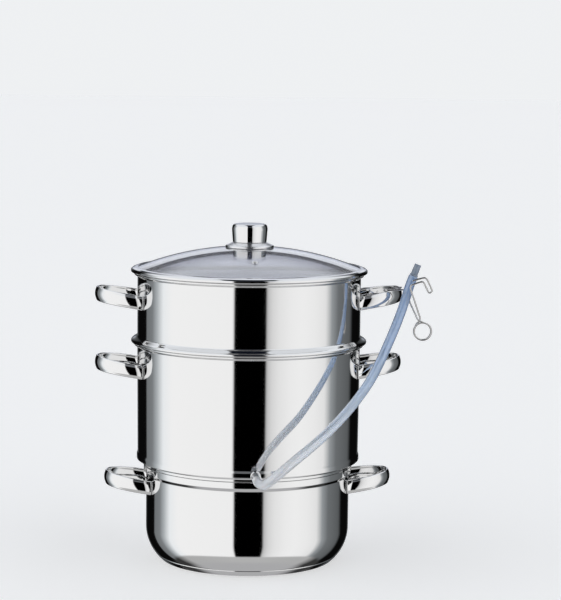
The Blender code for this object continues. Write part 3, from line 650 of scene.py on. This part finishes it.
# Fruit basket
# The upper pot, 26 cm, finished like the kettle. Its wall flares out to a rounded nose that sits on
# the kettle's rim, and turns back in under it to the lip that carries the strainer.
flare_share = np.linspace(0, 1, 25)
flare = np.stack(
    [
        0.1306 + 0.0073 * (1 - np.cos(math.pi * flare_share)) / 2,
        0.2650 - 0.0066 * flare_share,
    ],
    axis=1,
)
basket_outer = np.vstack(
    [
        bent(
            [
                (0.1340, 0.3356, 0),
                (0.1328, 0.3351, 0.0008),
                (0.1306, 0.3341, 0.0010),
                (0.1306, 0.2652, 0),
            ]
        ),
        flare,
        bent(
            [
                (0.1379, 0.2583, 0),
                (0.1379, 0.2568, 0.0010),
                (0.1292, 0.2568, 0.0006),
                (0.1284, 0.2558, 0.0006),
                (0.1284, 0.2480, 0),
            ]
        ),
    ]
)
basket_inner = bent(
    [
        (0.1276, 0.2480, 0),
        (0.1276, 0.2576, 0.0008),
        (0.1298, 0.2584, 0.0008),
        (0.1298, 0.3320, 0.002),
        (0.1312, 0.3355, 0),
    ]
)
basket_profile = np.vstack([rolled(0.3385), basket_outer, basket_inner])
basket = turned("basket_shell", basket_profile, polished)
second_finish(basket, brushed_inside, lambda height, out: (out < -0.5) & (height < 0.3350))
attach(basket, "basket")
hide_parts("basket_rim", "basket_body", "basket_bead")

# Strainer
# The basket's lower part, pierced with rows of small holes in wall and floor, so that steam comes
# up through the fruit and the juice drips down. The floor's middle is blank, above the cone.
strainer_top = 0.2560
strainer_floor = 0.1918
strainer_radius = 0.1269
strainer_corner = 0.0100
hole_radius = 0.0023
hole_sides = 16


def pierced(centres, across, up, place_on):
    """A pierced sheet: each cell is a ring of faces between a round hole and the cell's edge,
    worked out flat about its centre and then carried on to the surface by place_on."""
    turn = np.linspace(0, math.tau, hole_sides, endpoint=False)
    square = np.stack([np.cos(turn), np.sin(turn)], axis=1)
    square /= np.abs(square).max(axis=1, keepdims=True)
    circle = np.stack([np.cos(turn), np.sin(turn)], axis=1) * hole_radius
    edge = square * np.stack([across, up], axis=1)[:, None, :] / 2
    ring = np.broadcast_to(circle, edge.shape)
    flat = np.stack([ring, (ring + edge) / 2, edge], axis=1) + centres[:, None, None, :]
    points = place_on(flat.reshape(-1, 2))
    one = grid_faces(3, hole_sides)
    faces = one[None] + 3 * hole_sides * np.arange(len(centres))[:, None, None]
    return points, faces.reshape(-1, 4)


wall_columns = 64
wall_rows = 4
cell_across = math.tau / wall_columns
wall_low = strainer_floor + 0.0110
wall_high = wall_low + 0.0400
cell_up = (wall_high - wall_low) / wall_rows
column_grid, row_grid = np.meshgrid(np.arange(wall_columns), np.arange(wall_rows))
wall_centres = np.stack(
    [
        (column_grid.ravel() + 0.5) * cell_across * strainer_radius,
        wall_low + (row_grid.ravel() + 0.5) * cell_up,
    ],
    axis=1,
)


def on_wall(flat):
    """Rolls a flat sheet on to the strainer's wall: length becomes angle, height stays."""
    turn = flat[:, 0] / strainer_radius
    around = [strainer_radius * np.cos(turn), strainer_radius * np.sin(turn)]
    return np.stack([*around, flat[:, 1]], axis=1)


wall_points, wall_faces = pierced(
    wall_centres,
    np.full(len(wall_centres), cell_across * strainer_radius),
    np.full(len(wall_centres), cell_up),
    on_wall,
)
ring_width = 0.0100
floor_rings = (
    (0.044, 28), (0.054, 34), (0.064, 40), (0.074, 47), (0.084, 53), (0.094, 60), (0.104, 66)
)
sheet_points = [wall_points]
sheet_faces = [wall_faces]
offset = len(wall_points)
for ring_radius, ring_count in floor_rings:
    ring_cell = math.tau * ring_radius / ring_count
    ring_places = (np.arange(ring_count) + 0.5) * ring_cell
    ring_centres = np.stack([ring_places, np.full(ring_count, ring_radius)], axis=1)

    def on_floor(flat, ring_radius=ring_radius):
        """Bends a flat strip round the floor: length becomes angle, its other side the radius."""
        turn = flat[:, 0] / ring_radius
        around = [flat[:, 1] * np.cos(turn), flat[:, 1] * np.sin(turn)]
        return np.stack([*around, np.full(len(flat), strainer_floor)], axis=1)

    ring_points, ring_faces = pierced(
        ring_centres, np.full(ring_count, ring_cell), np.full(ring_count, ring_width), on_floor
    )
    sheet_points.append(ring_points)
    sheet_faces.append(ring_faces + offset)
    offset += len(ring_points)
corner_middle = (strainer_radius - strainer_corner, strainer_floor + strainer_corner)
blank_parts = [
    np.array([(0.1273, strainer_top), (0.1272, 0.2500), (strainer_radius, wall_high)]),
    np.vstack(
        [
            [(strainer_radius, wall_low)],
            arc(corner_middle, strainer_corner, 0, -90, 10),
            [(0.1090, strainer_floor)],
        ]
    ),
    np.array([(0.0390, strainer_floor), (0.0200, strainer_floor), (0.0, strainer_floor)]),
]
blank_sides = 256
for part in blank_parts:
    sheet_points.append(swept(part, blank_sides))
    sheet_faces.append(grid_faces(len(part), blank_sides) + offset)
    offset += len(part) * blank_sides
strainer = mesh_piece("strainer_sheet", np.vstack(sheet_points), np.vstack(sheet_faces), satin)
strainer_wall = strainer.modifiers.new("sheet", "SOLIDIFY")
strainer_wall.thickness = 0.0006
strainer_wall.offset = -1
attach(strainer, "basket")
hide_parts("basket_strainer", "strainer_corner", "strainer_floor")

# Side handles
# Two on each tier: a strap of polished steel, a little crowned, bent to a D and spot welded end on
# to the wall. Each rises a little towards its nose.
handle_height = 0.0163
handle_crown = 0.0016
handle_thick = 0.0024
handle_power = 2 / 2.05
handle_reach = 0.0494
handle_rise = 0.0080
rise_power = 0.85
foot_angle = math.radians(16.6)
foot_gap = 0.0006
neck_steps = np.array([0, 0.0006, 0.0012, 0.0024, 0.0035])
bend_radius = 0.0190


def handle_section(steps):
    """A strap's closed section: two parallel parabolas, joined by half circles at both edges."""
    edge = handle_thick / 2
    half = handle_height / 2 - edge
    up = np.linspace(1, -1, steps)
    bow = handle_crown * (1 - up**2)
    outer = np.stack([bow + edge, half * up], axis=1)
    inner = np.stack([bow - edge, half * up], axis=1)
    turn = np.radians(np.linspace(0, 180, 9))[1:-1]
    low = np.stack([edge * np.cos(turn), -half - edge * np.sin(turn)], axis=1)
    high = np.stack([-edge * np.cos(turn), half + edge * np.sin(turn)], axis=1)
    return np.vstack([outer, low, inner[::-1], high])


def handle(name, body, wall_radius, foot_height, side):
    """A handle: the section carried along its plan, which leaves the wall square to it, turns
    through an arc and goes round half a superellipse. It rises with a power of its reach."""
    out = np.array([math.cos(foot_angle), math.sin(foot_angle)])
    start = (wall_radius + foot_gap) * out
    neck = start + out * neck_steps[:, None]
    middle = neck[-1] + bend_radius * np.array([out[1], -out[0]])
    turn = foot_angle * np.linspace(0.9, 0, 10)
    bend = middle + bend_radius * np.stack([-np.sin(turn), np.cos(turn)], axis=1)
    wide = bend[-1]
    reach = wall_radius + handle_reach - handle_crown - handle_thick / 2 - wide[0]
    turn = math.pi * (0.5 - np.linspace(0, 1, 73)[1:-1])
    nose = np.stack(
        [
            wide[0] + reach * np.abs(np.cos(turn)) ** handle_power,
            wide[1] * np.sign(np.sin(turn)) * np.abs(np.sin(turn)) ** handle_power,
        ],
        axis=1,
    )
    half = np.vstack([neck, bend])
    plan = np.vstack([half, nose, half[::-1] * (1, -1)])
    share = np.clip((plan[:, 0] - neck[2, 0]) / (wide[0] + reach - neck[2, 0]), 0, 1)
    height = foot_height + handle_rise * share**rise_power
    along = np.gradient(plan, axis=0)
    along /= np.linalg.norm(along, axis=1, keepdims=True)
    along[:3] = out
    along[-3:] = -out * (1, -1)
    outward = np.stack([-along[:, 1], along[:, 0]], axis=1)
    section = handle_section(13)
    rings = np.empty((len(plan), len(section), 3))
    rings[..., :2] = plan[:, None] + outward[:, None] * section[None, :, :1]
    rings[..., 2] = height[:, None] + section[None, :, 1]
    rings[..., :2] *= side
    core = rings.mean(axis=1, keepdims=True)
    first = np.repeat(core[:1], len(section), 1)
    last = np.repeat(core[-1:], len(section), 1)
    closed = np.concatenate([first, rings, last])
    piece = mesh_piece(name, closed.reshape(-1, 3), grid_faces(len(closed), len(section)), polished)
    tidy(piece)
    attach(piece, body)
    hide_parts(body + "_handle_" + ("right" if side > 0 else "left"))


for tier, wall_radius, foot_height in (
    ("pan", 0.1196, 0.0888),
    ("kettle", 0.1306, 0.2250),
    ("basket", 0.1306, 0.3054),
):
    handle(tier + "_strap_left", tier, wall_radius, foot_height, -1)
    handle(tier + "_strap_right", tier, wall_radius, foot_height, 1)

# Lid glass
# A dome of tempered glass, clear with a blue-grey tint, part of a large ball. Its ground edge is
# held in the steel band, and a hole in its middle takes the knob's screw.
ball_radius = 0.3520
ball_height = 0.3684 - ball_radius
under_radius = 0.3650
under_height = 0.3649 - under_radius
glass_hole = 0.0042
glass_edge = 0.1325


def dome(radius):
    """The glass's outer height at a radius: the ball's centre plus the leg of the triangle."""
    return ball_height + np.sqrt(ball_radius**2 - np.asarray(radius) ** 2)


def under(radius):
    """The glass's inner height at a radius, from a flatter ball, so that it thins outwards."""
    return under_height + np.sqrt(under_radius**2 - np.asarray(radius) ** 2)


glass_finish, tree, shader = plain_finish("tinted_glass", (0.88, 0.90, 0.97), 0.0, 0.015)
shader.inputs["Transmission Weight"].default_value = 1.0
shader.inputs["IOR"].default_value = 1.6
shader.inputs["Coat Weight"].default_value = 1.0
shader.inputs["Coat IOR"].default_value = 2.0
shader.inputs["Coat Roughness"].default_value = 0.02
film_tones = [(0.45, (0.012, 0.012, 0.012)), (0.75, (0.05, 0.05, 0.05))]
clouded(tree, shader.inputs["Roughness"], 22.0, 3.0, film_tones)
glass_out = np.linspace(glass_hole, glass_edge, 60)
glass_in = np.linspace(glass_edge, glass_hole, 60)
glass_profile = np.vstack(
    [
        np.stack([glass_out, dome(glass_out)], axis=1),
        np.stack([glass_in, under(glass_in)], axis=1),
    ]
)
glass = turned("glass_dome", glass_profile, glass_finish)
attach(glass, "lid")
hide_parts("lid_glass")

# Lid rim band
# A rolled band of polished steel, crimped over the glass's edge. A skirt under it drops just
# inside the basket's rim and keeps the lid in place. The band's inner face just under the
# glass's edge is coloured near black: painted shade where the band meets the glass.
skirt_in = 0.1281
dark_lip_low = 0.3378
lip_in = 0.1298
seat_out = 0.1333
lip_low = float(dome(lip_in)) + seat_gap
band_profile = bent(
    [
        (lip_in, lip_low, 0),
        (lip_in, lip_low + 0.0005, 0.0002),
        (0.1335, 0.3441, 0.0020),
        (0.1366, 0.3430, 0.0020),
        (0.1383, 0.3415, 0.0012),
        (0.1383, 0.3388, 0.0010),
        (0.1299, 0.3388, 0.0004),
        (0.1290, 0.3379, 0.0003),
        (0.1290, 0.3335, 0.0003),
        (skirt_in, 0.3335, 0.0003),
        (skirt_in, dark_lip_low, 0),
        (skirt_in, float(under(skirt_in)) - seat_gap, 0.0002),
        (seat_out, float(under(seat_out)) - seat_gap, 0.0002),
        (seat_out, float(dome(seat_out)) + seat_gap, 0.0002),
        (lip_in, lip_low, 0),
    ]
)[:-1]
band = turned("rim_band", band_profile, polished)
# Painted shade: a near-black finish on the band's inner face, from the skirt's top up to the glass.
dark_lip_finish = plain_finish("dark_inner_lip", (0.035, 0.040, 0.060), 0.0, 0.35)[0]
second_finish(band, dark_lip_finish, lambda height, out: (height > dark_lip_low) & (out < -0.5))
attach(band, "lid")
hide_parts("lid_rim_band")

# Steam vent
# A small steel eyelet pressed through the glass in front of the knob, its edges rolled over above
# and below.
vent_reach = 0.0880
vent_tilt = math.asin(vent_reach / ball_radius)
vent_line = bent(
    [
        (0.0018, -0.0046, 0),
        (0.0018, 0.0011, 0.0006),
        (0.0034, 0.0013, 0.0006),
        (0.0046, 0.0003, 0.0003),
        (0.0030, 0.0003, 0.0002),
        (0.0030, -0.0038, 0.0002),
        (0.0042, -0.0038, 0.0003),
        (0.0040, -0.0046, 0.0003),
        (0.0018, -0.0046, 0),
    ]
)[:-1]
vent = turned("vent_eyelet", vent_line[::-1], polished, 48)
vent_outward = Vector((0, -math.sin(vent_tilt), math.cos(vent_tilt)))
vent_turn = Matrix.Rotation(vent_tilt, 4, "X")
vent_turn.translation = vent_outward * ball_radius + Vector((0, 0, ball_height))
place(vent, vent_turn)
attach(vent, "lid")
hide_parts("steam_vent_eyelet")

# Lid knob
# A knob of polished steel, widest near the top, with a flat face and a soft upper edge. It stands
# on a conical skirt, less bright, and is screwed through the glass on to silicone seals.
screw_room = 0.0029
knob_line = bent(
    [
        (0.0, 0.3950, 0),
        (0.0197, 0.3949, 0.0036),
        (0.0209, 0.3892, 0.0080),
        (0.0203, 0.3820, 0.0300),
        (0.0197, 0.3736, 0.0006),
        (screw_room, 0.3736, 0.0002),
        (screw_room, 0.3850, 0.0),
        (0.0, 0.3850, 0),
    ]
)
knob = tidy(turned("knob_cap", knob_line, polished, 96, closed=False))
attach(knob, "lid")
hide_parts("lid_knob")
skirt_out = 0.0283
skirt_edge = float(dome(skirt_out)) + seat_gap
skirt_line = bent(
    [
        (screw_room, 0.3733, 0),
        (0.0200, 0.3733, 0.0010),
        (0.0274, skirt_edge + 0.0026, 0.0012),
        (skirt_out, skirt_edge + 0.0018, 0.0006),
        (skirt_out, skirt_edge, 0.0003),
        (0.0272, skirt_edge, 0.0003),
        (0.0262, 0.3700, 0.0003),
        (screw_room, 0.3700, 0),
    ]
)
soft_polish = steel_finish("soft_polish", (0.88, 0.88, 0.89), 0.20, 0.05, 0.04, 0.01)
knob_skirt = turned("knob_plate", skirt_line, soft_polish, 96)
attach(knob_skirt, "lid")
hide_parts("knob_skirt")

# Hidden fittings
# The heat disc in the base, the knob's screw and its two silicone seals keep their own shapes from
# the model and get their real finish.
disc_finish = steel_finish("plain_aluminium", (0.80, 0.81, 0.82), 0.32, 0.08, 0.10, 0.05)
seal_finish, tree, shader = plain_finish("white_silicone", (0.80, 0.80, 0.78), 0.0, 0.45)
seal_tones = [(0.3, (0.76, 0.76, 0.74)), (0.7, (0.84, 0.84, 0.83))]
clouded(tree, shader.inputs["Base Color"], 300.0, 2.0, seal_tones)
for name, finish in (
    ("pan_base_disc", disc_finish),
    ("knob_screw", satin),
    ("knob_washer", seal_finish),
    ("knob_gasket", seal_finish),
):
    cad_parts[name].data.materials.clear()
    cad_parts[name].data.materials.append(finish)

# Studio
# A pale floor and background, two tall soft boxes left and right of the camera with a dark gap
# between them that runs on overhead, and dark cards that draw the steel's black edges.
floor_span = 30.0
floor_glow = 0.36
studio_turn = 4.0
floor_finish, tree, shader = plain_finish("studio_floor", (0.82, 0.82, 0.82), 0.0, 0.9)
shader.inputs["Specular IOR Level"].default_value = 0.0
shader.inputs["Emission Color"].default_value = (1, 1, 1, 1)
shader.inputs["Emission Strength"].default_value = floor_glow
floor_points = np.array([(-1, -1, 0), (1, -1, 0), (1, 1, 0), (-1, 1, 0)], dtype=float) * floor_span
floor = mesh_piece("floor", floor_points, np.array([(0, 1, 2, 3)]), floor_finish, smooth=False)
floor.visible_glossy = False

world = bpy.data.worlds.new("studio")
bpy.context.scene.world = world
world.use_nodes = True
tree = world.node_tree
look = node(tree, "ShaderNodeTexCoord")
turn_back = node(tree, "ShaderNodeVectorRotate", rotation_type="Z_AXIS")
turn_back.inputs["Angle"].default_value = math.radians(studio_turn)
tree.links.new(look.outputs["Generated"], turn_back.inputs["Vector"])
split = node(tree, "ShaderNodeSeparateXYZ")
tree.links.new(turn_back.outputs["Vector"], split.inputs[0])
side = split.outputs["X"]
away = split.outputs["Y"]
rise = split.outputs["Z"]


def changed(value, operation, amount=0.0):
    """A socket's value put through one step of maths with a fixed amount."""
    made = node(tree, "ShaderNodeMath", {1: amount}, operation=operation)
    tree.links.new(value, made.inputs[0])
    return made.outputs[0]


def share_of(value, start, end, easing="SMOOTHSTEP"):
    """How far a value has come on its way from start, where it is 0, to end, where it is 1."""
    span = {1: start, 2: end, 3: 0.0, 4: 1.0}
    made = node(tree, "ShaderNodeMapRange", span, interpolation_type=easing)
    tree.links.new(value, made.inputs[0])
    return made.outputs[0]


def toned(share, stops):
    """The colour that a ramp has at a share."""
    made = ramp(tree, stops)
    tree.links.new(share, made.inputs["Fac"])
    return made.outputs["Color"]


def mixed(share, first, second):
    """The first colour turning into the second as the share goes from 0 to 1. The second is a
    socket or a plain colour."""
    made = node(tree, "ShaderNodeMix", data_type="RGBA")
    tree.links.new(share, made.inputs[0])
    tree.links.new(first, made.inputs[6])
    if isinstance(second, tuple):
        made.inputs[7].default_value = (*second, 1)
    else:
        tree.links.new(second, made.inputs[7])
    return made.outputs[2]


def bearing_stops(stops):
    """Ramp stops from (bearing in degrees from the camera, brightness, blueness)."""
    return [
        ((angle + 180) / 360, (tone * (1 - 0.10 * blue), tone * (1 - 0.04 * blue), tone))
        for angle, tone, blue in stops
    ]


bearing = combined(tree, "ARCTAN2", side, changed(away, "MULTIPLY", -1.0))
around = share_of(bearing, -math.pi, math.pi, "LINEAR")
climb = share_of(rise, -1.0, 1.0, "LINEAR")
boxes = toned(
    around,
    bearing_stops(
        [
            (-180, 0.13, 1),
            (-168, 0.13, 1),
            (-160, 0.003, 0),
            (-131, 0.003, 0),
            (-129.5, 0.19, 1),
            (-117, 0.24, 1),
            (-108, 0.52, 1),
            (-98, 0.96, 0.5),
            (-85, 1.0, 0),
            (-15.8, 0.98, 0),
            (-14.2, 0.0, 0),
            (17.0, 0.0, 0),
            (18.8, 0.58, 0),
            (24, 0.76, 0),
            (31, 0.87, 0),
            (43, 0.95, 0),
            (56, 0.98, 0),
            (72, 0.94, 0),
            (85, 0.86, 0),
            (94, 0.36, 1),
            (104, 0.18, 1),
            (126, 0.12, 1),
            (133, 0.003, 0),
            (160, 0.003, 0),
            (168, 0.13, 1),
            (180, 0.13, 1),
        ]
    ),
)
ground = toned(
    around,
    bearing_stops(
        [
            (-180, 0.35, 0),
            (-150, 0.04, 0),
            (-118, 0.04, 0),
            (-95, 0.46, 0),
            (-20, 0.50, 0),
            (20, 0.50, 0),
            (95, 0.46, 0),
            (118, 0.04, 0),
            (150, 0.04, 0),
            (180, 0.35, 0),
        ]
    ),
)
studio = mixed(share_of(rise, -0.64, -0.70), boxes, ground)
studio = mixed(share_of(rise, -0.80, -0.92), studio, (0.45, 0.45, 0.46))
above = share_of(rise, 0.42, 0.60)
studio = mixed(above, studio, (0.85, 0.88, 0.92))

# The back of the studio, above the floor, is what the lid's glass and the far rims mirror.
back_wall = toned(
    climb,
    [
        (0.525, (0.10, 0.11, 0.13)),
        (0.54, (0.54, 0.57, 0.65)),
        (0.57, (0.58, 0.61, 0.69)),
        (0.585, (0.80, 0.83, 0.90)),
        (0.640, (0.80, 0.83, 0.90)),
        (0.648, (0, 0, 0.005)),
        (0.685, (0, 0, 0.005)),
        (0.70, (0.36, 0.38, 0.46)),
        (0.80, (0.80, 0.83, 0.90)),
    ],
)
off_middle = changed(side, "ABSOLUTE")
behind = combined(tree, "MULTIPLY", share_of(away, 0.45, 0.65), share_of(off_middle, 0.24, 0.14))
behind = combined(tree, "MULTIPLY", behind, changed(rise, "GREATER_THAN"))
studio = mixed(behind, studio, back_wall)
card = combined(tree, "MULTIPLY", share_of(off_middle, 0.25, 0.20), share_of(away, 0.50, 0.35))
card = combined(tree, "MULTIPLY", card, above)
studio = mixed(card, studio, (0.006, 0.008, 0.014))

# Rays through the glass meet an even sky, and the camera sees a plain pale background.
rays = node(tree, "ShaderNodeLightPath")
sky = toned(climb, [(0.52, (0.60, 0.62, 0.72)), (0.62, (1.0, 1.0, 1.0))])
studio = mixed(rays.outputs["Is Transmission Ray"], studio, sky)
studio = mixed(rays.outputs["Is Camera Ray"], studio, (0.86, 0.875, 0.89))
background = tree.nodes["Background"]
background.inputs["Strength"].default_value = 1.0
tree.links.new(studio, background.inputs["Color"])
